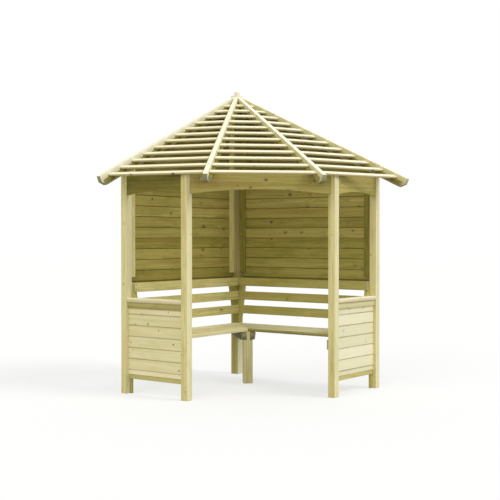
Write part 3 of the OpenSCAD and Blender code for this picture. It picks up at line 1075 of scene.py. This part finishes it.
@dataclass
class ArchedBeams(SubAssembly):
    """The three arched beams between the posts, darker towards the top with painted shade from the
    roof, the left one darker than the others.
    """

    arris: float = 0.003

    def timbers(self) -> list[Timber]:
        """Returns the timbers in the order in which they are built."""
        shades = {"front": (1.1, 1.2), "left": (-0.4, -0.3), "right": (1.2, 1.3)}
        traits = {"arris": self.arris, "painted_roof_shade": 0.5}
        return [
            Timber(f"{side}_beam", Exposure.SHADED, shades=span, **traits)
            for side, span in shades.items()
        ]


@dataclass
class Roof(SubAssembly):
    """The hips, the battens along them and the slats between them."""

    hip_arris: float = 0.003

    def timbers(self) -> list[Timber]:
        """Returns the timbers in the order in which they are built."""
        # Painted sunlight on the hips and slats, darker towards their bottoms with painted shade;
        # the battens are darker with painted shade.
        hip = {"shades": (0.5, 0.6), "bleach": 1.3, "painted_underside_shade": 0.5}
        slat = {"shades": (0.6, 1.0), "bleach": 0.9, "painted_underside_shade": 0.75}
        batten = {"shades": (-0.4, 0.0), "arris": self.arris}
        hips = ("left_side", "left_front", "right_front", "right_side")
        sections = ("left", "middle", "right")
        return [
            *(Timber(f"{n}_hip", Exposure.SUNLIT, arris=self.hip_arris, **hip) for n in hips),
            *both_sides("side_hip_batten", Exposure.SHADED, **batten),
            *both_sides("front_hip_battens", Exposure.SHADED, **batten),
            *(Timber(f"{n}_slats", Exposure.SUNLIT, arris=self.arris, **slat) for n in sections),
        ]


@dataclass(frozen=True)
class Fixings:
    """Nails, screws and bolts: CAD nodes that keep their shape and get a zinc finish."""

    finish: ZincFinish = ZincFinish()
    names: tuple[str, ...] = (
        "board_nails",
        "slat_nails",
        "bench_screws",
        "backrest_screws",
        "cap_screws",
        "hip_screws",
        "leg_bolts",
    )

    def dress(self, nodes: dict[str, Node]) -> None:
        """Gives the fixings their finish and reports them.

        Args:
            nodes: The CAD nodes by name.
        """
        zinc = self.finish.material()
        for name in self.names:
            node = nodes[name]
            node.data.materials.clear()
            node.data.materials.append(zinc)
            LOG.info("Fixings: %s", name)


@dataclass(frozen=True)
class Lamp:
    """One soft, distant light. Its bearing is from the entrance, positive to the right."""

    name: str
    bearing: float
    height: float
    strength: float
    spread: float
    colour: Colour = (1.0, 0.985, 0.93)
    distance: float = 12.0

    def hang(self) -> None:
        """Adds the light."""
        azimuth, height = math.radians(self.bearing), math.radians(self.height)
        level = Vector((math.sin(azimuth), -math.cos(azimuth), 0.0))
        towards = level * math.cos(height) + Vector((0.0, 0.0, math.sin(height)))
        deselect_all()
        bpy.ops.object.light_add(type="SUN", location=towards * self.distance)
        light = bpy.context.active_object
        light.name = self.name
        light.rotation_euler = towards.to_track_quat("Z", "Y").to_euler()
        light.data.energy = self.strength
        light.data.angle = math.radians(self.spread)
        light.data.color = self.colour


@dataclass(frozen=True)
class Studio:
    """Floor, lights and the camera at the photograph's viewing angle. Lamp angles are degrees."""

    eye: Triple = (-1.1344, -9.026, 1.2368)
    aim: Triple = (0.1374, 0.9905, -0.0142)
    lens: float = 73.07
    sensor: float = 36.0
    sight: float = 200.0
    lamps: tuple[Lamp, ...] = (
        Lamp("key_light", bearing=60.0, height=45.0, strength=1.4, spread=24.0),
        Lamp("second_light", bearing=-35.0, height=40.0, strength=0.75, spread=50.0),
    )
    fill: float = 0.72
    fill_colour: Colour = (0.98, 1.0, 0.97)
    floor_radius: float = 60.0
    floor_sides: int = 96

    def build(self) -> None:
        """Builds the whole studio."""
        self._floor()
        self._world()
        for lamp in self.lamps:
            lamp.hang()
        self._camera()

    def _floor(self) -> None:
        """Lays a round floor that reaches past the horizon's edge."""
        deselect_all()
        bpy.ops.mesh.primitive_circle_add(
            vertices=self.floor_sides, radius=self.floor_radius, fill_type="NGON"
        )
        floor = bpy.context.active_object
        floor.name = "studio_floor"
        floor.data.materials.append(PaperFinish().material())

    def _world(self) -> None:
        """Fills the scene with even light and shows white to the camera."""
        g = Graph(bpy.data.worlds.new("studio_world"))
        kind = "ShaderNodeBackground"
        light = {"Color": (*self.fill_colour, 1.0), "Strength": self.fill}
        soft = g.node(kind, {}, light, "Background")
        white = g.node(kind, {}, {"Color": WHITE, "Strength": 1.0}, "Background")
        mixed = g.node("ShaderNodeMixShader", {}, [g.seen(), soft, white], "Shader")
        bpy.context.scene.world = g.finish(mixed, "ShaderNodeOutputWorld")

    def _camera(self) -> None:
        """Places the camera where the photograph was taken from."""
        deselect_all()
        bpy.ops.object.camera_add(location=self.eye)
        camera = bpy.context.active_object
        camera.name = "photo_camera"
        camera.rotation_euler = Vector(self.aim).to_track_quat("-Z", "Y").to_euler()
        camera.data.lens = self.lens
        camera.data.sensor_width = self.sensor
        camera.data.clip_end = self.sight
        bpy.context.scene.camera = camera


def main() -> None:
    """Builds the arbor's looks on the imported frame."""
    logging.basicConfig(level=logging.INFO, format="%(name)s: %(message)s")
    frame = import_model()
    bpy.context.scene.view_settings.view_transform = "Standard"
    Studio().build()
    finishes = {exposure: finish.material() for exposure, finish in PINE.items()}
    dice = random.Random(SEED)
    for part in (Posts(), Walls(), Backrest(), Bench(), EndPanels(), ArchedBeams(), Roof()):
        part.build(frame["nodes"], finishes, dice)
    Fixings().dress(frame["nodes"])


if __name__ == "__main__":
    main()
